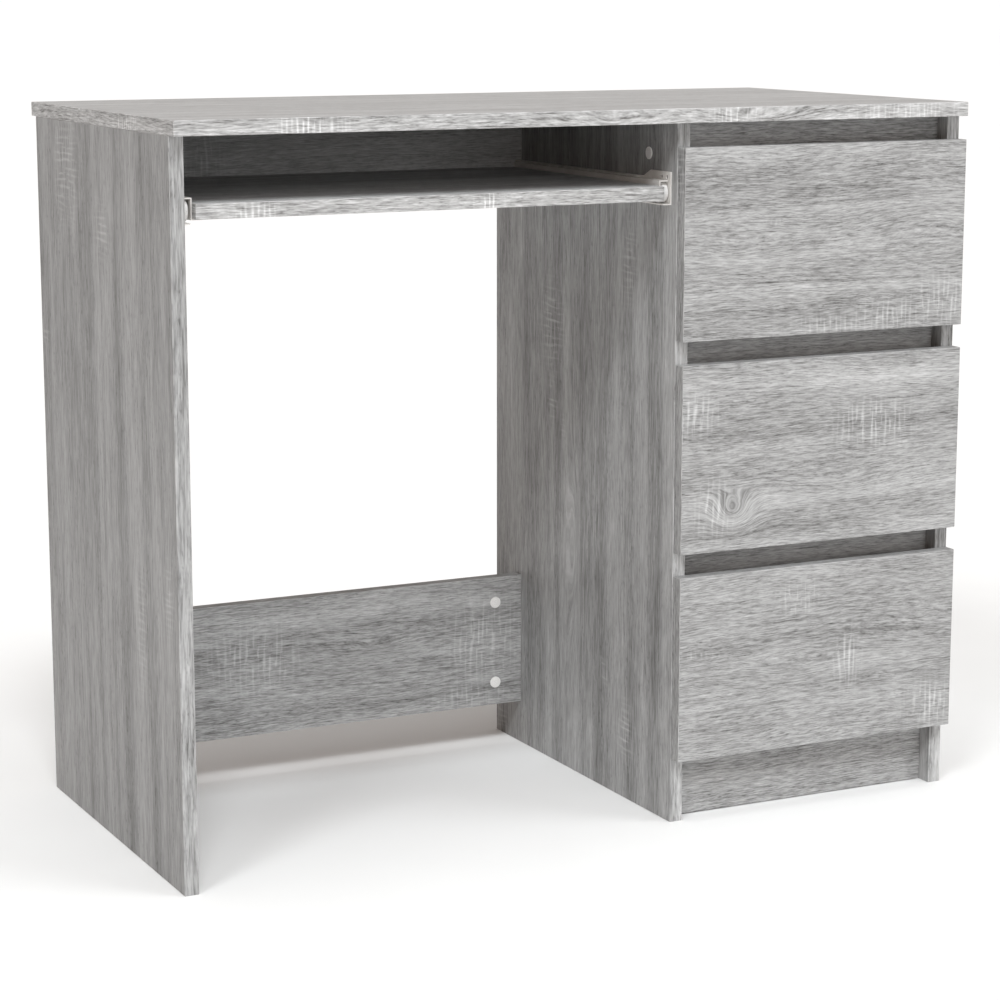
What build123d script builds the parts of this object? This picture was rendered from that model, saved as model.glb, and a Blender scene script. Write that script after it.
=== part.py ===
from build123d import *
import os

# Writing desk with a drawer pedestal on the right and a pull-out keyboard tray on the left.
# Millimetres. +X to the right, +Y to the back, +Z up. The origin is on the floor, under the
# middle of the desktop, and the drawer fronts face -Y.

# Desktop and boards
desk_width = 900.0
desk_depth = 450.0
desk_height = 760.0
board = 15.0
edge_break = 0.5

# Upright panels
panel_front_setback = 16.0
panel_back_setback = 15.0
top_cam_front_inset = 59.0
top_cam_back_inset = 32.0
top_dowel_front_inset = 114.0
top_dowel_back_inset = 95.0
pedestal_width = 350.0

# Rails at the back of the knee space
back_rail_setback = 50.0
upper_rail_height = 100.0
lower_rail_bottom = 50.0
lower_rail_height = 153.0
lower_rail_cam_heights = (77.0, 173.0)
upper_rail_dowel_offset = 30.0

# Pedestal front: kick board, drawer fronts and the rails behind the finger gaps
kick_height = 70.0
floor_clearance = 1.0
drawer_count = 3
front_height = 200.0
finger_gap = 25.0
front_side_reveal = 0.5
front_back_gap = 0.4
rail_recess = 18.0
front_rail_height = 50.0
front_rail_cam_rise = 10.0
front_rail_dowel_drop = 12.0
kick_fixing_offset = 15.0

# Thin back panel of the pedestal, in a groove of both uprights
thin_board = 3.0
back_groove_depth = 6.0
back_groove_from_edge = 10.0
groove_play = 0.2

# Keyboard tray
tray_front_setback = 20.0
tray_depth = 345.0
tray_bottom = 665.0

# Drawer boxes
box_board = 12.0
box_length = 350.0
box_height = 140.0
box_above_front_bottom = 25.0
bottom_inset = 12.0
bottom_groove_depth = 6.0
box_cam_rise = 40.0
box_screw_rise = 50.0
box_fixing_drop = 30.0

# Roller runners: a fixed cabinet part and a sliding part, each with one roller
runner_space = 12.5
drawer_runner_length = 350.0
tray_runner_length = 340.0
runner_height = 27.0
runner_nose_height = 34.0
runner_nose_length = 42.0
runner_nose_slope = 15.0
runner_front_setback = 27.6
tray_slider_setback = 11.0
runner_below_box = 5.0
sheet = 1.2
track_reach = 9.6
mover_flange_reach = 10.1
mover_flange_drop = 0.5
mover_shelf = 10.0
mover_flange_roller_gap = 2.0
roller_width = 7.0
front_roller_radius = 11.0
rear_roller_radius = 12.0
roller_gap = 0.3
roller_inset = 14.0
roller_wall_gap = 0.6
rivet_radius = 2.5
rivet_head_radius = 4.0
rivet_head = 0.4
running_clearance = 0.05
wall_screw_front_inset = 70.0
wall_screw_back_inset = 40.0
nose_hole_insets = (7.5, 18.5)
nose_hole_drop = 5.5
nose_hole_radius = 2.2
slider_screw_inset = 75.0

# Fixings
cam_radius = 6.0
cam_length = 9.5
cam_pocket_depth = 10.0
cam_to_joint = 34.0
cam_sink = 0.4
cap_radius = 6.6
cap_thickness = 1.2
bolt_radius = 2.5
bolt_head_radius = 2.9
bolt_head_length = 2.5
bolt_embed = 11.0
dowel_radius = 4.0
dowel_length = 30.0
dowel_in_face = 10.0
screw_radius = 1.75
screw_length = 10.0
screw_head_radius = 3.2
screw_head_height = 1.2
box_screw_length = 36.0
drive_slot = 0.9
fit = 0.1
bore_spare = 1.0

# Places worked out from the sizes above
front_edge = -desk_depth / 2
back_edge = desk_depth / 2
left_edge = -desk_width / 2
right_edge = desk_width / 2
top_underside = desk_height - board
panel_front = front_edge + panel_front_setback
panel_back = back_edge - panel_back_setback
left_inner = left_edge + board
divider_left = right_edge - pedestal_width
divider_right = divider_left + board
right_inner = right_edge - board
back_rail_back = panel_back - back_rail_setback
back_rail_front = back_rail_back - board
rail_front = panel_front + rail_recess
runner_front = front_edge + runner_front_setback

LEFT = (-1, 0, 0)
RIGHT = (1, 0, 0)
FRONT = (0, -1, 0)
BACK = (0, 1, 0)
UP = (0, 0, 1)

parts = {}


def slab(x0, x1, y0, y1, z0, z1, broken_edge=0.0):
    """A board or sheet between opposite corners, with all its edges broken by a small chamfer."""
    size = (abs(x1 - x0), abs(y1 - y0), abs(z1 - z0))
    middle = ((x0 + x1) / 2, (y0 + y1) / 2, (z0 + z1) / 2)
    solid = Pos(*middle) * Box(*size)
    if broken_edge:
        solid = chamfer(solid.edges(), broken_edge)
    return solid


def rod(start, direction, radius, length):
    """A round rod or the cutter of a bore, from its start along a direction."""
    base = Plane(origin=start, z_dir=direction)
    return base * Cylinder(radius, length, align=(Align.CENTER, Align.CENTER, Align.MIN))


def along(point, direction, distance):
    """The point a distance along a direction."""
    return tuple(p + d * distance for p, d in zip(point, direction))


def reverse(direction):
    return tuple(-d for d in direction)


def cam_joint(face_point, inward, towards, depth):
    """One cam fitting: the cam lies in a board's face and pulls a bolt in the board that it meets.

    face_point is the middle of the cam on the face, inward points into the board, towards
    points along the bolt to the other board, and depth is how far in the bolt's axis lies.
    """
    centre = along(face_point, inward, depth)
    joint = along(centre, towards, cam_to_joint)
    cam = rod(along(face_point, inward, cam_sink), inward, cam_radius, cam_length)
    cam -= rod(centre, towards, bolt_head_radius + fit, cam_radius + bore_spare)
    cam -= rod(along(centre, towards, -bolt_head_length), towards, bolt_head_radius + fit, cam_radius)
    slot_plane = Plane(origin=along(face_point, inward, cam_sink), z_dir=inward)
    for length, width in ((cam_radius, drive_slot), (drive_slot, cam_radius)):
        cam -= slot_plane * Box(length, width, 2 * drive_slot)
    bolt = rod(centre, towards, bolt_radius, cam_to_joint + bolt_embed)
    bolt += rod(along(centre, towards, -bolt_head_length / 2), towards, bolt_head_radius, bolt_head_length)
    cap = rod(face_point, reverse(inward), cap_radius, cap_thickness)
    cap = chamfer(cap.edges().sort_by(Axis(face_point, reverse(inward)))[-1], cap_thickness / 2)
    return {
        "cam": cam,
        "bolt": bolt,
        "cap": cap,
        "cam_board": [
            rod(face_point, inward, cam_radius + fit, cam_pocket_depth),
            rod(joint, reverse(towards), bolt_head_radius + fit, cam_to_joint + bolt_head_length),
        ],
        "bolt_board": [rod(joint, towards, bolt_radius + fit, bolt_embed + bore_spare)],
    }


def dowel_joint(joint_point, towards):
    """A dowel across a joint: most of it in the end of one board, the rest in the other's face."""
    start = along(joint_point, towards, dowel_in_face - dowel_length)
    pin = rod(start, towards, dowel_radius, dowel_length)
    end_depth = dowel_length - dowel_in_face + bore_spare
    return {
        "dowel": pin,
        "end_board": [rod(joint_point, reverse(towards), dowel_radius + fit, end_depth)],
        "face_board": [rod(joint_point, towards, dowel_radius + fit, dowel_in_face + bore_spare)],
    }


def screw(under_head, direction, length):
    """A pan-head screw with a cross slot; the head's underside is at the start point."""
    solid = rod(under_head, reverse(direction), screw_head_radius, screw_head_height)
    solid += rod(under_head, direction, screw_radius, length)
    top = Plane(origin=along(under_head, direction, -screw_head_height), z_dir=direction)
    for long_side, short_side in ((screw_head_radius, drive_slot), (drive_slot, screw_head_radius)):
        solid -= top * Box(long_side, short_side, drive_slot)
    return solid


def runner(wall_x, inward, bottom_z, length, box_front, box_back):
    """One roller runner in the space between a wall of the desk and a drawer or tray.

    wall_x is the wall's face, and inward is 1 or -1, the way from it to the box along X.
    bottom_z and length are those of the fixed part. The sliding part runs from box_front
    to box_back.
    """
    runner_back = runner_front + length

    def across(distance):
        return wall_x + inward * distance

    inward_axis = (inward, 0, 0)
    box_face = runner_space
    track_top = bottom_z + runner_height

    # Fixed part: an upright web with a raised nose, over a track that is open towards the box
    nose_back = runner_front + runner_nose_length
    slope_back = nose_back + runner_nose_slope
    outline = [
        (runner_front, bottom_z),
        (runner_front, bottom_z + runner_nose_height),
        (nose_back, bottom_z + runner_nose_height),
        (slope_back, track_top),
        (runner_back, track_top),
        (runner_back, bottom_z),
    ]
    web_face = make_face(Polyline(*[(across(0), y, z) for y, z in outline], close=True))
    fixed = extrude(web_face, amount=sheet, dir=inward_axis)
    fixed += slab(across(0), across(track_reach), runner_front, runner_back, bottom_z, bottom_z + sheet)
    fixed += slab(across(0), across(track_reach), slope_back, runner_back, track_top - sheet, track_top)

    # Sliding part: a shelf under the box, a web on its side and a flange that rides on the roller
    box_bottom = bottom_z + runner_below_box
    flange_top = track_top - sheet - mover_flange_drop
    flange_bottom = flange_top - sheet
    rear_roller_y = box_back - roller_inset
    flange_back = rear_roller_y - rear_roller_radius - mover_flange_roller_gap
    web_inner = box_face - sheet
    slider = slab(across(web_inner), across(box_face), box_front, box_back, box_bottom - sheet, flange_top)
    slider += slab(
        across(web_inner),
        across(box_face + mover_shelf),
        box_front,
        box_back,
        box_bottom - sheet,
        box_bottom,
    )
    slider += slab(
        across(box_face - mover_flange_reach),
        across(box_face),
        box_front,
        flange_back,
        flange_bottom,
        flange_top,
    )

    # Front roller on the fixed part, rear roller on the sliding part, each on a headed rivet
    front_roller_y = runner_front + roller_inset
    front_roller_z = flange_bottom - roller_gap - front_roller_radius
    rear_roller_z = bottom_z + sheet + roller_gap + rear_roller_radius
    front_start = (across(sheet + roller_wall_gap), front_roller_y, front_roller_z)
    rear_start = (across(web_inner - roller_wall_gap), rear_roller_y, rear_roller_z)
    outward_axis = reverse(inward_axis)
    hub = rivet_radius + running_clearance
    front_roller = rod(front_start, inward_axis, front_roller_radius, roller_width)
    front_roller -= rod(front_start, inward_axis, hub, roller_width)
    rear_roller = rod(rear_start, outward_axis, rear_roller_radius, roller_width)
    rear_roller -= rod(rear_start, outward_axis, hub, roller_width)
    rivet_length = roller_wall_gap + roller_width + roller_gap
    fixed += rod(along(front_start, outward_axis, roller_wall_gap), inward_axis, rivet_radius, rivet_length)
    fixed += rod(
        along(front_start, inward_axis, roller_width + roller_gap),
        inward_axis,
        rivet_head_radius,
        rivet_head,
    )
    slider += rod(along(rear_start, inward_axis, roller_wall_gap), outward_axis, rivet_radius, rivet_length)
    slider += rod(
        along(rear_start, outward_axis, roller_width + roller_gap),
        outward_axis,
        rivet_head_radius,
        rivet_head,
    )

    # Screws: through the fixed web into the wall, and through the sliding web into the box
    screw_z = bottom_z + runner_height / 2
    wall_screws = []
    wall_bores = []
    box_screws = []
    box_bores = []
    nose_hole_z = bottom_z + runner_nose_height - nose_hole_drop
    runner_middle = (runner_front + runner_back) / 2
    for y in (runner_front + wall_screw_front_inset, runner_middle, runner_back - wall_screw_back_inset):
        under_head = (across(sheet), y, screw_z)
        wall_screws.append(screw(under_head, outward_axis, screw_length))
        wall_bores.append(rod((across(0), y, screw_z), outward_axis, screw_radius + fit, screw_length))
        fixed -= rod((across(0), y, screw_z), inward_axis, screw_radius + 2 * fit, sheet)
    for inset in nose_hole_insets:
        y = runner_front + inset
        fixed -= rod((across(0), y, nose_hole_z), inward_axis, nose_hole_radius, sheet)
    box_middle = (box_front + box_back) / 2
    for y in (box_front + slider_screw_inset, box_middle, box_back - slider_screw_inset):
        under_head = (across(web_inner), y, screw_z)
        box_screws.append(screw(under_head, inward_axis, screw_length))
        box_bores.append(rod((across(box_face), y, screw_z), inward_axis, screw_radius + fit, screw_length))
        slider -= rod((across(web_inner), y, screw_z), inward_axis, screw_radius + 2 * fit, sheet)

    return {
        "fixed": fixed,
        "slider": slider,
        "front_roller": front_roller,
        "rear_roller": rear_roller,
        "wall_screws": wall_screws,
        "wall_bores": wall_bores,
        "box_screws": box_screws,
        "box_bores": box_bores,
    }


def upright_panel(x0, x1):
    """A side panel or the divider, from the floor to the underside of the desktop."""
    return slab(x0, x1, panel_front, panel_back, 0, top_underside, edge_break)


# Boards of the carcass, whole, before their bores are cut
carcass = {
    "desktop": slab(left_edge, right_edge, front_edge, back_edge, top_underside, desk_height, edge_break),
    "left_side_panel": upright_panel(left_edge, left_inner),
    "divider_panel": upright_panel(divider_left, divider_right),
    "right_side_panel": upright_panel(right_inner, right_edge),
}
cutters = {name: [] for name in carcass}
cams = []
bolts = []
caps = []
dowels = []
runner_screws = []


def add_board(name, solid):
    carcass[name] = solid
    cutters[name] = []


def add_cam(cam_board, bolt_board, face_point, inward, towards, depth=board / 2):
    """Fit one cam joint between two boards of the carcass."""
    fitting = cam_joint(face_point, inward, towards, depth)
    cams.append(fitting["cam"])
    bolts.append(fitting["bolt"])
    caps.append(fitting["cap"])
    cutters[cam_board] += fitting["cam_board"]
    cutters[bolt_board] += fitting["bolt_board"]


def add_dowel(end_board, face_board, joint_point, towards):
    """Fit one dowel between the end of one board and the face of another."""
    fitting = dowel_joint(joint_point, towards)
    dowels.append(fitting["dowel"])
    cutters[end_board] += fitting["end_board"]
    cutters[face_board] += fitting["face_board"]


def add_rail(name, x0, x1, y0, z0, z1, ends, cam_heights, dowel_heights, cams_in_front):
    """A board on edge between two uprights, with cams and dowels at both ends."""
    add_board(name, slab(x0, x1, y0, y0 + board, z0, z1, edge_break))
    face_y = y0 if cams_in_front else y0 + board
    inward = BACK if cams_in_front else FRONT
    for x, towards, upright in ((x0, LEFT, ends[0]), (x1, RIGHT, ends[1])):
        for z in cam_heights:
            cam_place = along((x, face_y, z), towards, -cam_to_joint)
            add_cam(name, upright, cam_place, inward, towards)
        for z in dowel_heights:
            add_dowel(name, upright, (x, y0 + board / 2, z), towards)


# Rails at the back of the knee space
upper_rail_middle = top_underside - upper_rail_height / 2
add_rail(
    "upper_back_rail",
    left_inner,
    divider_left,
    back_rail_front,
    top_underside - upper_rail_height,
    top_underside,
    ("left_side_panel", "divider_panel"),
    (upper_rail_middle,),
    (upper_rail_middle - upper_rail_dowel_offset, upper_rail_middle + upper_rail_dowel_offset),
    False,
)
add_rail(
    "lower_back_rail",
    left_inner,
    divider_left,
    back_rail_front,
    lower_rail_bottom,
    lower_rail_bottom + lower_rail_height,
    ("left_side_panel", "divider_panel"),
    lower_rail_cam_heights,
    (sum(lower_rail_cam_heights) / 2,),
    True,
)

# Rails behind the finger gaps, counted from the top, and the kick board
pedestal_sides = ("divider_panel", "right_side_panel")
front_bottoms = []
for number in range(1, drawer_count + 1):
    front_top = top_underside - finger_gap - (number - 1) * (front_height + finger_gap)
    front_bottoms.append(front_top - front_height)
    gap_middle = front_top + finger_gap / 2
    rail_top = min(gap_middle + front_rail_height / 2, top_underside)
    rail_bottom = rail_top - front_rail_height
    rail_middle = (rail_top + rail_bottom) / 2
    add_rail(
        f"front_rail_{number}",
        divider_right,
        right_inner,
        rail_front,
        rail_bottom,
        rail_top,
        pedestal_sides,
        (rail_middle + front_rail_cam_rise,),
        (rail_middle - front_rail_dowel_drop,),
        False,
    )
kick_middle = (kick_height + floor_clearance) / 2
add_rail(
    "kick_board",
    divider_right,
    right_inner,
    rail_front,
    floor_clearance,
    kick_height,
    pedestal_sides,
    (kick_middle + kick_fixing_offset,),
    (kick_middle - kick_fixing_offset,),
    False,
)

# Thin back panel, let into grooves near the back edges of the pedestal's two uprights
groove_back = panel_back - back_groove_from_edge
groove_front = groove_back - thin_board
back_left = divider_right - back_groove_depth + groove_play
back_right = right_inner + back_groove_depth - groove_play
add_board(
    "pedestal_back_panel",
    slab(back_left, back_right, groove_front, groove_back, floor_clearance, top_underside - groove_play),
)
for upright, face, direction in (("divider_panel", divider_right, -1), ("right_side_panel", right_inner, 1)):
    cutters[upright].append(
        slab(
            face,
            face + direction * back_groove_depth,
            groove_front - groove_play,
            groove_back + groove_play,
            0,
            top_underside,
        )
    )

# Uprights to the desktop: two cams and two dowels each, with the cams on the inner faces
cam_height = top_underside - cam_to_joint
upright_faces = (
    ("left_side_panel", left_inner, LEFT, left_edge + board / 2),
    ("divider_panel", divider_left, RIGHT, divider_left + board / 2),
    ("right_side_panel", right_inner, RIGHT, right_edge - board / 2),
)
for upright, face_x, inward, middle_x in upright_faces:
    for y in (panel_front + top_cam_front_inset, panel_back - top_cam_back_inset):
        add_cam(upright, "desktop", (face_x, y, cam_height), inward, UP)
    for y in (panel_front + top_dowel_front_inset, panel_back - top_dowel_back_inset):
        add_dowel(upright, "desktop", (middle_x, y, top_underside), UP)


def add_runner_pair(name, walls, uprights, bottom_z, length, box_front, box_back):
    """The left and right runners of a tray or drawer, between two walls' faces."""
    left = runner(walls[0], 1, bottom_z, length, box_front, box_back)
    right = runner(walls[1], -1, bottom_z, length, box_front, box_back)
    parts[f"{name}_left_fixed_runner"] = left["fixed"]
    parts[f"{name}_right_fixed_runner"] = right["fixed"]
    parts[f"{name}_left_sliding_runner"] = left["slider"]
    parts[f"{name}_right_sliding_runner"] = right["slider"]
    parts[f"{name}_front_rollers"] = [left["front_roller"], right["front_roller"]]
    parts[f"{name}_rear_rollers"] = [left["rear_roller"], right["rear_roller"]]
    runner_screws.extend(left["wall_screws"] + right["wall_screws"])
    cutters[uprights[0]] += left["wall_bores"]
    cutters[uprights[1]] += right["wall_bores"]
    return left, right


# Keyboard tray
tray_front = front_edge + tray_front_setback
tray_back = tray_front + tray_depth
tray_left, tray_right = add_runner_pair(
    "tray",
    (left_inner, divider_left),
    ("left_side_panel", "divider_panel"),
    tray_bottom - runner_below_box,
    tray_runner_length,
    tray_front + tray_slider_setback,
    tray_back,
)
tray = slab(
    left_inner + runner_space,
    divider_left - runner_space,
    tray_front,
    tray_back,
    tray_bottom,
    tray_bottom + board,
    edge_break,
)
parts["keyboard_tray"] = tray - (tray_left["box_bores"] + tray_right["box_bores"])
parts["tray_screws"] = tray_left["box_screws"] + tray_right["box_screws"]


def make_drawer(number, front_bottom):
    """One drawer: front, two sides, back, bottom, runners and fixings."""
    name = f"drawer_{number}"
    face_front = panel_front - front_back_gap - board
    face_back = face_front + board
    box_back = face_back + box_length
    box_bottom = front_bottom + box_above_front_bottom
    box_top = box_bottom + box_height
    outer_left = divider_right + runner_space
    outer_right = right_inner - runner_space
    inner_left = outer_left + box_board
    inner_right = outer_right - box_board
    left, right = add_runner_pair(
        name,
        (divider_right, right_inner),
        pedestal_sides,
        box_bottom - runner_below_box,
        drawer_runner_length,
        face_back,
        box_back,
    )

    front = slab(
        divider_left + front_side_reveal,
        right_edge - front_side_reveal,
        face_front,
        face_back,
        front_bottom,
        front_bottom + front_height,
        edge_break,
    )
    left_side = slab(outer_left, inner_left, face_back, box_back, box_bottom, box_top, edge_break)
    right_side = slab(inner_right, outer_right, face_back, box_back, box_bottom, box_top, edge_break)

    # The bottom board slides into grooves of the sides and the front, under the back board
    groove_bottom = box_bottom + bottom_inset
    groove_top = groove_bottom + thin_board + 2 * groove_play
    groove = slab(
        inner_left - bottom_groove_depth,
        inner_right + bottom_groove_depth,
        face_back - bottom_groove_depth,
        box_back,
        groove_bottom,
        groove_top,
    )
    bottom = slab(
        inner_left - bottom_groove_depth + groove_play,
        inner_right + bottom_groove_depth - groove_play,
        face_back - bottom_groove_depth + groove_play,
        box_back,
        groove_bottom + groove_play,
        groove_top - groove_play,
    )
    back = slab(inner_left, inner_right, box_back - box_board, box_back, groove_top, box_top, edge_break)

    # Cams hold the sides to the front, and long screws hold the sides to the back
    fixings = left["box_screws"] + right["box_screws"]
    side_cuts = {"left": [groove] + left["box_bores"], "right": [groove] + right["box_bores"]}
    front_cuts = [groove]
    back_cuts = []
    sides = (
        ("left", inner_left, LEFT, outer_left, RIGHT),
        ("right", inner_right, RIGHT, outer_right, LEFT),
    )
    for side, inner_face, outwards, outer_face, inwards in sides:
        for z in (box_bottom + box_cam_rise, box_top - box_fixing_drop):
            cam_place = (inner_face, face_back + cam_to_joint, z)
            fitting = cam_joint(cam_place, outwards, FRONT, box_board / 2)
            fixings += [fitting["cam"], fitting["bolt"]]
            side_cuts[side] += fitting["cam_board"]
            front_cuts += fitting["bolt_board"]
        for z in (box_bottom + box_screw_rise, box_top - box_fixing_drop):
            head_place = (outer_face, box_back - box_board / 2, z)
            fixings.append(screw(head_place, inwards, box_screw_length))
            side_cuts[side].append(rod(head_place, inwards, screw_radius + fit, box_board))
            back_cuts.append(rod(head_place, inwards, screw_radius + fit, box_screw_length + bore_spare))

    parts[f"{name}_front"] = front - front_cuts
    parts[f"{name}_left_side"] = left_side - side_cuts["left"]
    parts[f"{name}_right_side"] = right_side - side_cuts["right"]
    parts[f"{name}_back"] = back - back_cuts
    parts[f"{name}_bottom"] = bottom
    parts[f"{name}_fixings"] = fixings


for index, front_bottom in enumerate(front_bottoms):
    make_drawer(index + 1, front_bottom)

# Cut the bores of the carcass, and gather the fixings
for name, solid in carcass.items():
    parts[name] = solid - cutters[name] if cutters[name] else solid
parts["cam_locks"] = cams
parts["cam_bolts"] = bolts
parts["cam_caps"] = caps
parts["dowels"] = dowels
parts["runner_screws"] = runner_screws

os.makedirs("parts", exist_ok=True)
for name, shape in parts.items():
    piece = Compound(children=shape) if isinstance(shape, list) else shape
    piece.label = name
    export_step(piece, f"parts/{name}.step")
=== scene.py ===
import math

import bpy
import numpy as np
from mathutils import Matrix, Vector


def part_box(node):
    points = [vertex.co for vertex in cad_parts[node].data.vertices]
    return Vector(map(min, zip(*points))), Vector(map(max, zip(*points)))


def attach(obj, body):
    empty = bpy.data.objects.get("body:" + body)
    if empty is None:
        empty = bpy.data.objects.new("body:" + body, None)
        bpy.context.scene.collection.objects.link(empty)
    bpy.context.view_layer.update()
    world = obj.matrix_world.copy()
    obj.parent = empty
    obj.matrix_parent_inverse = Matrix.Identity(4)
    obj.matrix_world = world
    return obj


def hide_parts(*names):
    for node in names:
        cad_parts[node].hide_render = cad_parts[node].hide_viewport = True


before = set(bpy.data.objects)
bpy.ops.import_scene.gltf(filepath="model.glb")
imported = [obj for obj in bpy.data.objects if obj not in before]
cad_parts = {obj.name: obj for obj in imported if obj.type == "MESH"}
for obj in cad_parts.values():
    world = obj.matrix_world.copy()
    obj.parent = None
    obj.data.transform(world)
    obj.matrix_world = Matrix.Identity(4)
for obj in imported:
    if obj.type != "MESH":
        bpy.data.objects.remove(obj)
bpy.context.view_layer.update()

scene = bpy.context.scene
MM = 0.001
AXES = "xyz"
FULL_TURN = 2 * math.pi

# Patterns of the printed grain: length along it and width across it in millimetres, offset of
# the layer, then the detail and roughness of the noise. Stroke lengths are in saw pitches.
PATTERNS = {
    "wander": (430.0, 130.0, 0.0, 1.0, 0.5),
    "ripple": (46.0, 12.0, 1.3, 2.0, 0.5),
    "bands": (700.0, 34.0, 2.1, 2.0, 0.5),
    "patch": (90.0, 22.0, 3.7, 2.0, 0.5),
    "streaks": (110.0, 3.1, 4.9, 3.0, 0.62),
    "fibre": (14.0, 1.25, 5.3, 2.0, 0.7),
    "dashes": (7.0, 1.3, 6.1, 1.0, 0.5),
    "thread": (60.0, 1.7, 6.6, 2.0, 0.6),
    "open_grain": (120.0, 8.0, 7.7, 2.0, 0.5),
    "shake": (22.0, 90.0, 8.2, 1.0, 0.5),
    "lengths": (0.5, 22.0, 9.4, 1.0, 0.5),
    "marks": (85.0, 34.0, 10.8, 1.0, 0.5),
}
# What each pattern adds to the shade (0 dark, 1 pale), to the roughness and to the relief
SHADE = {"bands": 0.62, "patch": 0.3, "streaks": 0.5, "fibre": 1.38, "lines": 0.15,
         "pores": 0.18, "strokes": 0.46, "broken_edge": 0.12}
ROUGHNESS = {"board": 0.5, "fibre": 0.22, "pores": 0.12, "broken_edge": 0.12}
RELIEF = {"streaks": 0.35, "fibre": 0.4, "pores": 0.5, "lines": 0.3, "strokes": 0.25}
RELIEF_DEPTH = 0.00014
BOARD_GLOSS = 0.42
# Where a pattern begins to count and where it counts in full
LIMITS = {"lines": (0.44, 0.3), "pores": (0.54, 0.72), "open_grain": (0.36, 0.62),
          "lengths": (0.38, 0.56), "marks": (0.72, 0.86), "broken_edge": (0.97, 0.9)}
# The print's two greys at a tone of 1: reflectance and warmth
DARK_LEVEL, DARK_WARMTH = 0.075, 0.03
PALE_LEVEL, PALE_WARMTH = 0.575, -0.003
# The edging's contrast, how much less it ripples, and the ripple's share of the sway
EDGING_CONTRAST = 1.0
EDGING_CALM = 0.65
RIPPLE_SHARE = 0.13
# Saw marks: how far they shake, in pitches, how thin they are, how strong stray patches are
SAW_SHAKE = 2.4
STROKE_SHARPNESS = 2.2
STRAY_MARKS = 0.7
# How much more than its red gains the blue of a warm grey loses
BLUE_LOSS = 1.3


class Value:
    """One socket of a finish. Arithmetic on values adds Math nodes to its tree."""

    def __init__(self, tree, socket):
        self.tree = tree
        self.socket = socket

    def node(self, kind, settings, inputs, output=0):
        """Adds a node of any type: its settings first, then its sockets' values or links."""
        made = self.tree.nodes.new(kind)
        for name, setting in settings.items():
            setattr(made, name, setting)
        for name, given in inputs.items():
            if isinstance(given, Value):
                self.tree.links.new(given.socket, made.inputs[name])
            else:
                made.inputs[name].default_value = given
        return Value(self.tree, made.outputs[output])

    def math(self, operation, *others):
        """A Math node on this value and the others."""
        given = dict(enumerate((self, *others)))
        return self.node("ShaderNodeMath", {"operation": operation}, given)

    def __add__(self, other):
        return self.math("ADD", other)

    __radd__ = __add__

    def __mul__(self, other):
        return self.math("MULTIPLY", other)

    __rmul__ = __mul__

    def __sub__(self, other):
        return self.math("SUBTRACT", other)

    def __rsub__(self, other):
        return self * -1.0 + other

    def __truediv__(self, other):
        return self.math("DIVIDE", other)

    def __pow__(self, other):
        return self.math("POWER", other)

    def __abs__(self):
        return self.math("ABSOLUTE")

    def rise(self, low, high):
        """0 below low and 1 above high, with a smooth change between; falls if high is lower."""
        settings = {"interpolation_type": "SMOOTHSTEP"}
        if high < low:
            return 1.0 - self.rise(high, low)
        return self.node("ShaderNodeMapRange", settings, {0: self, 1: low, 2: high})

    def between(self, first, second):
        """The first value where this one is 0, the second where it is 1."""
        return self.node("ShaderNodeMix", {"data_type": "FLOAT"}, {0: self, 2: first, 3: second})

    def colours(self, first, second):
        """The first colour where this value is 0, the second where it is 1."""
        given = {0: self, 6: first, 7: second}
        return self.node("ShaderNodeMix", {"data_type": "RGBA"}, given, 2)


def noise(along, across, layer, detail=2.0, roughness=0.5):
    """Noise stretched by what its two places were divided by; a layer is its own pattern."""
    place = along.node("ShaderNodeCombineXYZ", {}, {0: along, 1: across, 2: layer})
    given = {"Vector": place, "Scale": 1.0, "Detail": detail, "Roughness": roughness}
    return place.node("ShaderNodeTexNoise", {}, given)


def grey(level, warmth=0.0):
    """A grey of that reflectance, warmer above 0 and cooler below it."""
    return (level * (1 + warmth), level, level * (1 - BLUE_LOSS * warmth), 1.0)


def wear(material, *names):
    """Gives CAD nodes their finish."""
    for name in names:
        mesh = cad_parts[name].data
        mesh.materials.clear()
        mesh.materials.append(material)


def start_finish(name):
    """An empty material: its shader node and the first value of its tree, object coordinates."""
    material = bpy.data.materials.new(name)
    material.use_nodes = True
    tree = material.node_tree
    shader = tree.nodes["Principled BSDF"]
    place = Value(tree, tree.nodes.new("ShaderNodeTexCoord").outputs["Object"])
    return material, shader, place


def end_finish(place, shader, colour, roughness, height, depth):
    """Feeds the shader: colour, roughness, and a bump of that height with depth in metres."""
    given = {"Height": height, "Distance": depth, "Strength": 1.0}
    bump = place.node("ShaderNodeBump", {}, given)
    for name, value in (("Base Color", colour), ("Roughness", roughness), ("Normal", bump)):
        place.tree.links.new(value.socket, shader.inputs[name])


def hill(u, v, middle_u, middle_v, reach_u, reach_v):
    """1 at the middle of an oval and nearly 0 at twice its reach, a bell across it both ways."""
    du = (u - middle_u) / reach_u
    dv = (v - middle_v) / reach_v
    return ((du * du + dv * dv) * -1.0).math("EXPONENT")


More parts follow.
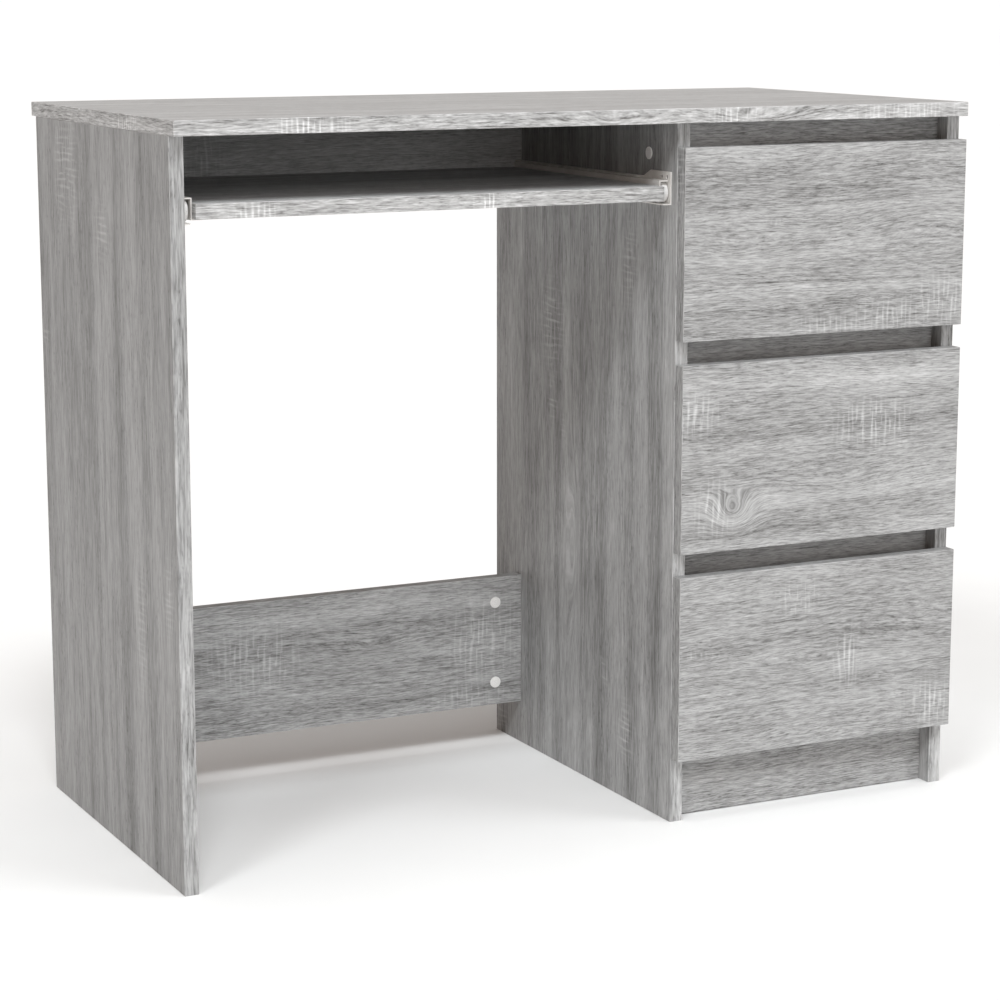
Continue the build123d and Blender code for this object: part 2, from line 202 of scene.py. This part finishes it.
def laminate(name, node, grain, width, layer, tone=1.0, contrast=1.0,
             eyes=(), sawn=(), seams=(), sway=26.0, saw=1.0, pitch=5.6, band=1.0,
             coarse=1.0, painted_edging_light=0.0):
    """Grey washed oak laminate for one board, with its grain along one axis.

    u runs along the grain and v across it, in millimetres from the board's low corner; on
    the ends the board's edging carries on across the width. Growth lines follow r, which is
    v with a slow wander, a small ripple and a hill at every eye, so that lines bow round an
    eye as they do round a knot. An eye is (u, v, reach along, reach across, lift of r), a
    sawn patch (u, v, reach along, reach across, strength), and a seam a dark line
    (r, half width, middle u, half length, depth), or a pale one if its depth is below 0. The
    sway is how far the lines wander, saw the strength of the saw marks and pitch their
    spacing, band the strength of the broad bands, coarse widens the fine lines, and
    painted_edging_light
    lightens the edging: painted light on the edging, and painted shade where it is below 0.
    The tone scales both greys of the print; above 1 it is painted light on the whole board,
    and below 1 painted shade. The finish goes on the board's CAD node.
    """
    material, shader, place = start_finish(name)
    tree = place.tree
    facing = Value(tree, tree.nodes["Texture Coordinate"].outputs["Normal"])
    low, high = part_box(node)
    thick = next(axis for axis in AXES if axis not in (grain, width))
    spots, turns = {}, {}
    for index, axis in enumerate(AXES):
        spots[axis] = (place.node("ShaderNodeSeparateXYZ", {}, {0: place}, index) - low[index]) / MM
        turns[axis] = abs(facing.node("ShaderNodeSeparateXYZ", {}, {0: facing}, index))
    on_end = turns[grain].math("GREATER_THAN", 0.5)
    on_edge = turns[width].math("GREATER_THAN", 0.5)
    flat = turns["x"].math("MAXIMUM", turns["y"]).math("MAXIMUM", turns["z"])
    broken_edge = flat.rise(*LIMITS["broken_edge"])
    u = on_end.between(spots[grain], spots[width])
    v = on_end.between(spots[width] + spots[thick], spots[thick] + spots[grain])

    def pattern(kind, across, longer=1.0, wider=1.0):
        """One of the board's patterns along u, and across v or the growth lines."""
        length, breadth, offset, detail, rough = PATTERNS[kind]
        return noise(u / (length * longer), across / (breadth * wider), layer + offset,
                     detail, rough)

    # Where the growth lines run
    banding = on_edge.math("MAXIMUM", on_end)
    wander = (pattern("wander", v) - 0.5) * sway
    calm = 1.0 - banding * EDGING_CALM
    ripple = (pattern("ripple", v) - 0.5) * calm * (sway * RIPPLE_SHARE)
    amount = banding.between(contrast, EDGING_CONTRAST)
    r = v + wander + ripple
    for middle_u, middle_v, reach_u, reach_v, lift in eyes:
        r = r + hill(u, v, middle_u, middle_v, reach_u, reach_v) * lift

    # Broad bands of tone, streaks, fine fibre and short dark pores
    bands = pattern("bands", r)
    patch = pattern("patch", r)
    streaks = pattern("streaks", r)
    fibre = pattern("fibre", r, coarse, coarse)
    lines = pattern("thread", r, coarse, coarse).rise(*LIMITS["lines"])
    dashes = pattern("dashes", r, wider=coarse)
    open_grain = pattern("open_grain", r).rise(*LIMITS["open_grain"])
    pores = dashes.rise(*LIMITS["pores"]) * open_grain

    # Pale saw marks across the grain, in patches
    shake = (pattern("shake", v) - 0.5) * (SAW_SHAKE * pitch)
    beat = ((u + shake) * (FULL_TURN / pitch)).math("SINE") * 0.5 + 0.5
    lengths = pattern("lengths", v, longer=pitch).rise(*LIMITS["lengths"])
    marks = pattern("marks", v).rise(*LIMITS["marks"]) * STRAY_MARKS
    for middle_u, middle_v, reach_u, reach_v, strength in sawn:
        patch_marks = hill(u, v, middle_u, middle_v, reach_u, reach_v) * strength
        marks = marks.math("MAXIMUM", patch_marks)
    strokes = beat ** STROKE_SHARPNESS * lengths * marks * saw

    # banding * painted_edging_light is painted light on the edging, and painted shade where
    # painted_edging_light is below 0
    shade = (
        (bands - 0.5) * (SHADE["bands"] * band)
        + (patch - 0.5) * SHADE["patch"]
        + (streaks - 0.5) * SHADE["streaks"]
        + (fibre - 0.5) * SHADE["fibre"]
        - lines * SHADE["lines"]
        - pores * SHADE["pores"]
        + strokes * SHADE["strokes"]
    ) * amount + banding * painted_edging_light + broken_edge * SHADE["broken_edge"] + 0.5
    for line_r, half_width, middle_u, half_length, depth in seams:
        shade = shade - hill(u, r, middle_u, line_r, half_length, half_width) * depth
    shade = shade.node("ShaderNodeClamp", {}, {0: shade})
    # The tone scales both greys; on the boards below where it is so said, a tone above 1 is painted
    # light and a tone below 1 painted shade
    dark = grey(DARK_LEVEL * tone, DARK_WARMTH)
    pale = grey(PALE_LEVEL * tone, PALE_WARMTH)
    colour = shade.colours(dark, pale)
    roughness = (
        (fibre - 0.5) * ROUGHNESS["fibre"]
        + ROUGHNESS["board"]
        + pores * ROUGHNESS["pores"]
        - broken_edge * ROUGHNESS["broken_edge"]
    )
    height = (
        streaks * RELIEF["streaks"]
        + fibre * RELIEF["fibre"]
        - pores * RELIEF["pores"]
        - lines * RELIEF["lines"]
        + strokes * RELIEF["strokes"]
    )
    end_finish(place, shader, colour, roughness, height, RELIEF_DEPTH)
    shader.inputs["Specular IOR Level"].default_value = BOARD_GLOSS
    wear(material, node)


SKIN_FINENESS = 9.0
ROUGHNESS_SWING = 0.2
MOULDED_GLOSS = 0.5
CLOUDS_ROUND, CLOUDS_ALONG, CLOUDS_LAYER = 9.0, 14.0, 2.6


def speckled(name, dark, light, scale, roughness, depth, gloss=0.5, coat=0.0, metal=0.0):
    """A plain finish: two close colours in a soft mottle, and a fine skin of that depth."""
    material, shader, place = start_finish(name)
    given = {"Vector": place, "Scale": scale, "Detail": 3.0}
    mottle = place.node("ShaderNodeTexNoise", {}, given)
    given = {"Vector": place, "Scale": scale * SKIN_FINENESS, "Detail": 2.0}
    skin = place.node("ShaderNodeTexNoise", {}, given)
    colour = mottle.rise(0.3, 0.7).colours(dark, light)
    uneven = roughness + (skin - 0.5) * ROUGHNESS_SWING
    end_finish(place, shader, colour, uneven, skin + mottle * 0.5, depth)
    shader.inputs["Specular IOR Level"].default_value = gloss
    shader.inputs["Coat Weight"].default_value = coat
    shader.inputs["Metallic"].default_value = metal
    return material


def turned(name, dark, light, roughness, rings, depth):
    """A moulded round piece: faint rings that follow its profile, from the piece's own map."""
    material, shader, place = start_finish(name)
    tree = place.tree
    around = Value(tree, tree.nodes["Texture Coordinate"].outputs["UV"])
    turn = around.node("ShaderNodeSeparateXYZ", {}, {0: around}, 0)
    out = around.node("ShaderNodeSeparateXYZ", {}, {0: around}, 1)
    ridges = (out * (FULL_TURN * rings)).math("SINE") * 0.5 + 0.5
    mottle = noise(turn * CLOUDS_ROUND, out * CLOUDS_ALONG, CLOUDS_LAYER, 3.0)
    colour = (mottle * 0.8 + ridges * 0.2).rise(0.25, 0.8).colours(dark, light)
    uneven = roughness + (mottle - 0.5) * ROUGHNESS_SWING
    end_finish(place, shader, colour, uneven, ridges + mottle, depth)
    shader.inputs["Specular IOR Level"].default_value = MOULDED_GLOSS
    return material


# Desk boards
# The desktop's tone of 1.4 is painted light: the fronts' laminate made paler so that its top looks
# lit from above
laminate("desktop_oak", "desktop", "x", "y", 3.0, tone=1.4, contrast=0.5,
         sawn=((137, 5, 30, 14, 1.0), (610, 8, 26, 14, 0.7), (820, 6, 60, 12, 0.5)),
         eyes=((470, 2, 70, 9, 8), (640, 4, 60, 9, 9)))
# The left panel's tone of 0.87 is painted shade on its side, and its painted_edging_light of 0.13
# painted light on its front edge
laminate("left_panel_oak", "left_side_panel", "z", "y", 17.0, tone=0.87, contrast=0.69,
         sway=9.0, band=1.9, pitch=7.0, coarse=1.9, painted_edging_light=0.13,
         seams=((214, 5, 330, 210, 0.16), (30, 9, 500, 240, 0.1), (392, 8, 420, 330, 0.08)),
         sawn=((698, 310, 45, 26, 1.0), (640, 205, 22, 20, 0.9), (700, 335, 50, 16, 1.0),
               (512, 403, 8, 10, 0.9), (294, 26, 30, 12, 0.7), (250, 110, 60, 14, 0.5)))
# The divider's tone of 0.96 is painted shade
laminate("divider_oak", "divider_panel", "z", "y", 31.0, tone=0.96, contrast=0.72,
         sway=9.0, band=2.2, pitch=7.0, coarse=1.7,
         seams=((232, 4, 440, 90, 0.2), (196, 3, 300, 120, 0.12)),
         eyes=((265, 222, 90, 13, 22), (430, 120, 120, 10, -9)),
         sawn=((508, 276, 40, 22, 1.0), (420, 276, 20, 9, 0.9), (594, 100, 34, 14, 0.8),
               (74, 99, 26, 14, 1.0), (17, 405, 20, 14, 0.8)))
laminate("right_panel_oak", "right_side_panel", "z", "y", 47.0, contrast=0.7, sway=9.0,
         band=2.0, pitch=7.0, coarse=1.7,
         seams=((150, 5, 400, 260, 0.14),),
         eyes=((380, 250, 120, 16, 26),),
         sawn=((560, 120, 50, 22, 0.9), (180, 320, 60, 18, 0.8)))
# The upper rail's tone of 1.25 is painted light in the shade under the desktop
laminate("upper_rail_oak", "upper_back_rail", "x", "z", 59.0, tone=1.25, contrast=0.8,
         sawn=((150, 60, 18, 30, 0.7),))
laminate("lower_rail_oak", "lower_back_rail", "x", "z", 67.0, pitch=7.0,
         eyes=((345, 86, 46, 11, 7), (30, 108, 70, 22, -8)),
         seams=((80, 2.6, 70, 90, 0.2), (128, 3.5, 110, 80, 0.14), (22, 3, 430, 160, 0.12)),
         sawn=((199, 88, 46, 30, 0.7), (486, 80, 40, 40, 0.7), (470, 14, 40, 12, 0.6)))
laminate("kick_oak", "kick_board", "x", "z", 73.0, tone=1.1)
for rail, layer in (("front_rail_1", 83.0), ("front_rail_2", 89.0), ("front_rail_3", 97.0)):
    laminate(f"{rail}_oak", rail, "x", "z", layer)

# Drawer fronts, each with its own figure
laminate("drawer_1_front_oak", "drawer_1_front", "x", "z", 101.0, pitch=6.4,
         seams=((57, 1.5, 200, 150, 0.22), (140, 2.0, 250, 90, 0.18),
                (92, 26, 120, 190, -0.1), (165, 24, 120, 150, 0.05)),
         eyes=((300, 118, 90, 24, -12), (70, 92, 80, 18, 9)),
         sawn=((322, 26, 34, 22, 0.75), (255, 15, 40, 14, 0.7), (180, 9, 44, 9, 0.6)))
laminate("drawer_2_front_oak", "drawer_2_front", "x", "z", 113.0, pitch=7.0,
         seams=((122, 6, 150, 190, 0.13), (20, 2.0, 90, 60, 0.18),
                (172, 20, 230, 180, -0.08), (86, 18, 290, 80, -0.08)),
         eyes=((63, 40, 23, 20, 29), (200, 60, 80, 14, 9)),
         sawn=((238, 125, 40, 20, 1.0), (40, 48, 18, 24, 1.0), (14, 148, 24, 18, 0.9)))
laminate("drawer_3_front_oak", "drawer_3_front", "x", "z", 127.0, contrast=0.94, pitch=6.4,
         band=0.6,
         seams=((49, 1.5, 84, 80, 0.2), (122, 1.8, 250, 90, 0.14)),
         eyes=((350, 110, 120, 30, 14), (150, 86, 70, 12, 8)),
         sawn=((148, 166, 18, 14, 1.0), (211, 92, 14, 26, 1.0), (322, 28, 26, 20, 1.0)))

# Keyboard tray, drawer boxes and the thin back; a layer of its own keeps each board's figure
# unlike the others
FIRST_BOX_LAYER = 159.0
BOX_LAYERS = 9.0
# The tray's tone of 1.4 is painted light on its top in the shade under the desktop, and its
# painted_edging_light of -0.1 painted shade on its edging
laminate("tray_oak", "keyboard_tray", "x", "y", 139.0, tone=1.4, painted_edging_light=-0.1,
         sawn=((309, 5, 14, 12, 1.0), (60, 4, 22, 10, 0.7)))
movers = ("tray", "drawer_1", "drawer_2", "drawer_3")
drawers = movers[1:]
for place, drawer in enumerate(drawers):
    layer = FIRST_BOX_LAYER + BOX_LAYERS * place
    boards = ((f"{drawer}_left_side", "y", 0.0), (f"{drawer}_right_side", "y", 3.0),
              (f"{drawer}_back", "x", 6.0))
    for board, grain, step in boards:
        laminate(f"{board}_oak", board, grain, "z", layer + step, contrast=0.7, saw=0.7)
    laminate(f"{drawer}_bottom_print", f"{drawer}_bottom", "x", "y", layer + 8.0,
             contrast=0.5, saw=0.4)
laminate("back_panel_print", "pedestal_back_panel", "z", "x", 181.0, contrast=0.5, saw=0.4)

# Metal, coated steel and dowels
cream = speckled("cream_coated_steel", grey(0.70, 0.03), grey(0.78, 0.026), 60.0, 0.36, 0.00004,
                 coat=0.15)
zinc = speckled("zinc_plate", grey(0.52, -0.01), grey(0.66, 0.0), 240.0, 0.34, 0.00002, metal=1.0)
beech = speckled("beech_dowel", (0.50, 0.34, 0.19, 1.0), (0.62, 0.45, 0.27, 1.0), 300.0, 0.6,
                 0.0001)
for mover in movers:
    for side in ("left", "right"):
        wear(cream, f"{mover}_{side}_fixed_runner", f"{mover}_{side}_sliding_runner")
wear(zinc, "cam_locks", "cam_bolts", "runner_screws", "tray_screws")
wear(zinc, *(f"{drawer}_fixings" for drawer in drawers))
wear(beech, "dowels")


CORNER_POINTS = 5


def round_pieces(name, profile, centres, axes, around=40):
    """Round pieces of one profile: the profile of (radius, height) turned about each axis.

    The grid has one row for each profile point and one column for each step round. A point
    is centre + height * axis + radius * (cos(turn) * side + sin(turn) * up), where side and
    up stand square to the axis. The profile starts and ends on the axis or at one ring, where
    its points meet and the surface closes; its map is (share of the turn, share of the
    profile).
    """
    profile = np.array(profile, float)
    centres = np.array(centres, float)[:, None, None, :]
    axes = np.array(axes, float)
    side = np.cross(axes, np.roll(axes, 1, axis=1))
    up = np.cross(axes, side)
    turn = np.linspace(0, FULL_TURN, around, endpoint=False)[None, :, None]
    ring = np.cos(turn) * side[:, None, :] + np.sin(turn) * up[:, None, :]
    points = (
        centres
        + profile[None, :, None, 1:] * axes[:, None, None, :]
        + profile[None, :, None, :1] * ring[:, None, :, :]
    )
    rows, copies = len(profile), len(axes)
    steps = (np.arange(rows - 1), np.arange(around), np.arange(copies))
    row, column, copy = np.meshgrid(*steps, indexing="ij")
    following = (column + 1) % around
    base = copy * rows * around
    faces = np.stack([
        base + row * around + column,
        base + row * around + following,
        base + (row + 1) * around + following,
        base + (row + 1) * around + column,
    ], axis=-1).reshape(-1, 4)
    reach = np.concatenate([[0], np.cumsum(np.hypot(*np.diff(profile, axis=0).T))])
    reach = reach / reach[-1]
    corner_turn = np.stack([column, column + 1, column + 1, column], axis=-1) / around
    corner_reach = np.stack([reach[row], reach[row], reach[row + 1], reach[row + 1]], axis=-1)
    mesh = bpy.data.meshes.new(name)
    mesh.from_pydata(points.reshape(-1, 3).tolist(), [], faces.tolist())
    layer = mesh.uv_layers.new(name="round")
    layer.data.foreach_set("uv", np.stack([corner_turn, corner_reach], axis=-1).reshape(-1))
    mesh.polygons.foreach_set("use_smooth", np.ones(len(faces), bool))
    piece = bpy.data.objects.new(name, mesh)
    scene.collection.objects.link(piece)
    return piece


def rounded(radius, height, corner):
    """Points of a quarter circle of that corner radius, for a rim of that radius and height."""
    turns = np.linspace(0, math.pi / 2, CORNER_POINTS)
    middle, foot = radius - corner, height - corner
    return [(middle + corner * math.cos(a), foot + corner * math.sin(a)) for a in turns]


# Cover caps over the cams: a thin skirt, a rounded rim, and a top that domes as a cosine
CAP_RADIUS = 6.6 * MM
CAP_HEIGHT = 1.2 * MM
CAP_SKIRT = 0.3 * MM
CAP_CORNER = 0.4 * MM
RIM_SHARE = 0.82
DOME_START = 0.75
dome = [
    (CAP_RADIUS * share,
     CAP_HEIGHT * (DOME_START + (1 - DOME_START) * math.cos(share * math.pi / 2)))
    for share in (0.8, 0.6, 0.4, 0.2, 0.0)
]
cap_profile = [(0.0, 0.0), (CAP_RADIUS, 0.0), (CAP_RADIUS, CAP_SKIRT)]
cap_profile += rounded(CAP_RADIUS, RIM_SHARE * CAP_HEIGHT, CAP_CORNER) + dome

# Where the cams sit: in from a board's ends and edges, and up from a rail's low edge
CAM_TO_END = 34 * MM
PANEL_CAM_TO_FRONT = 59 * MM
PANEL_CAM_TO_BACK = 32 * MM
cap_places, cap_axes = [], []
rails = {
    "upper_back_rail": (1, (50.0,)),
    "lower_back_rail": (-1, (27.0, 123.0)),
    "front_rail_1": (1, (35.0,)),
    "front_rail_2": (1, (35.0,)),
    "front_rail_3": (1, (35.0,)),
    "kick_board": (1, (49.5,)),
}
for rail, (facing_y, heights) in rails.items():
    low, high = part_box(rail)
    face_y = high.y if facing_y > 0 else low.y
    for x in (low.x + CAM_TO_END, high.x - CAM_TO_END):
        for height in heights:
            cap_places.append((x, face_y, low.z + height * MM))
            cap_axes.append((0, facing_y, 0))
panels = {"left_side_panel": 1, "divider_panel": -1, "right_side_panel": -1}
for panel, facing_x in panels.items():
    low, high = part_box(panel)
    face_x = high.x if facing_x > 0 else low.x
    for y in (low.y + PANEL_CAM_TO_FRONT, high.y - PANEL_CAM_TO_BACK):
        cap_places.append((face_x, y, high.z - CAM_TO_END))
        cap_axes.append((facing_x, 0, 0))
caps = round_pieces("cover_caps", cap_profile, cap_places, cap_axes)
caps.data.materials.append(
    turned("white_caps", grey(0.74, 0.01), grey(0.86, 0.012), 0.42, 7.0, 0.00006))
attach(caps, "desk")
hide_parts("cam_caps")

# Rollers: a flat tread, rounded shoulders, a dished web and a hub, bored for the rivet
roller_finish = turned("white_rollers", grey(0.70, 0.004), grey(0.80, 0.008), 0.34, 11.0, 0.00003)
BORE = 2.55 * MM
ROLLER_WIDTH = 7.0 * MM
HUB_FACE = 1.6 * MM
HUB_EDGE = 2.0 * MM
DISH = 0.9 * MM
WEB_TO_TREAD = 3.2 * MM
RIM_TO_TREAD = 2.6 * MM
SHOULDER = 0.9 * MM
ROLLER_STEPS = 56
flank = ROLLER_WIDTH / 2
for mover in movers:
    for place in ("front", "rear"):
        body = f"{mover}_{place}_rollers"
        low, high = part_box(body)
        radius = (high.z - low.z) / 2
        middle_y, middle_z = (low.y + high.y) / 2, (low.z + high.z) / 2
        outer = [
            (BORE, flank),
            (BORE + HUB_FACE, flank),
            (BORE + HUB_EDGE, flank - DISH),
            (radius - WEB_TO_TREAD, flank - DISH),
            (radius - RIM_TO_TREAD, flank),
            *rounded(radius, flank, SHOULDER)[::-1],
        ]
        inner = [(out, -along) for out, along in outer[::-1]]
        profile = [*outer, *inner, outer[0]]
        centres = [(x, middle_y, middle_z) for x in (low.x + flank, high.x - flank)]
        rollers = round_pieces(
            f"{body}_moulded", profile[::-1], centres, [(1, 0, 0), (1, 0, 0)], ROLLER_STEPS)
        rollers.data.materials.append(roller_finish)
        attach(rollers, body)
        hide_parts(body)

# Floor: a wide, flat, pale sheet, on a grid of even steps both ways at height 0
FLOOR_REACH = 40.0
FLOOR_STEPS = 40
gridlines = np.linspace(-FLOOR_REACH, FLOOR_REACH, FLOOR_STEPS + 1)
across, back = np.meshgrid(gridlines, gridlines, indexing="ij")
floor_points = np.stack([across, back, np.zeros_like(across)], axis=-1).reshape(-1, 3)
column, row = np.meshgrid(np.arange(FLOOR_STEPS), np.arange(FLOOR_STEPS), indexing="ij")
corner = column * (FLOOR_STEPS + 1) + row
next_corner = corner + FLOOR_STEPS + 1
floor_faces = np.stack([corner, next_corner, next_corner + 1, corner + 1], axis=-1).reshape(-1, 4)
floor_mesh = bpy.data.meshes.new("studio_floor")
floor_mesh.from_pydata(floor_points.tolist(), [], floor_faces.tolist())
floor = bpy.data.objects.new("studio_floor", floor_mesh)
scene.collection.objects.link(floor)
floor_mesh.materials.append(
    speckled("studio_paper", grey(0.87), grey(0.89), 3.0, 0.9, 0.0, gloss=0.1))


def sun(name, azimuth, elevation, strength, spread, colour=(0.95, 0.985, 1.0)):
    """A soft studio light: how far round from the front, how high, how strong, how wide."""
    light = bpy.data.lights.new(name, "SUN")
    light.energy = strength
    light.angle = math.radians(spread)
    light.color = colour
    made = bpy.data.objects.new(name, light)
    scene.collection.objects.link(made)
    a, e = math.radians(azimuth), math.radians(elevation)
    towards = Vector((math.sin(a) * math.cos(e), -math.cos(a) * math.cos(e), math.sin(e)))
    made.rotation_euler = towards.to_track_quat("Z", "Y").to_euler()


# Studio lights, with angles in degrees, and a white backdrop round a dim warm room
WARM = (1.0, 0.80, 0.66)
COOL = (0.93, 0.985, 1.0)
LIGHT = 1.33 * math.pi
sun("key_light", -18, 50, 0.33 * LIGHT, 16)
sun("left_key_light", -52, 43, 0.215 * LIGHT, 16)
sun("top_light", 0, 89, 0.25 * LIGHT, 34, COOL)
sun("right_fill", 50, 35, 0.21 * LIGHT, 32)
sun("front_fill", 5, 10, 0.145 * LIGHT, 32)
sun("left_fill", -42, 6, 0.045 * LIGHT, 40, WARM)
world = bpy.data.worlds.new("studio")
scene.world = world
world.use_nodes = True
ROOM_LIGHT = (0.215, 0.160, 0.130, 1.0)
BACKDROP = (1.02, 1.02, 1.02, 1.0)
air = world.node_tree
seen = Value(air, air.nodes.new("ShaderNodeLightPath").outputs["Is Camera Ray"])
air.links.new(seen.colours(ROOM_LIGHT, BACKDROP).socket, air.nodes["Background"].inputs["Color"])

# Camera: a long lens, from the front left, a little above the desktop, tilted down
FOCAL_LENGTH = 98.88
SENSOR_WIDTH = 36.0
STAND = (-1.3213, -2.6663, 0.8878)
TILT_DOWN = 0.18692
TURN = -0.4602
lens = bpy.data.cameras.new("camera")
lens.lens = FOCAL_LENGTH
lens.sensor_width = SENSOR_WIDTH
camera = bpy.data.objects.new("camera", lens)
scene.collection.objects.link(camera)
camera.location = STAND
camera.rotation_euler = (math.pi / 2 - TILT_DOWN, 0.0, TURN)
scene.camera = camera
scene.view_settings.view_transform = "Standard"
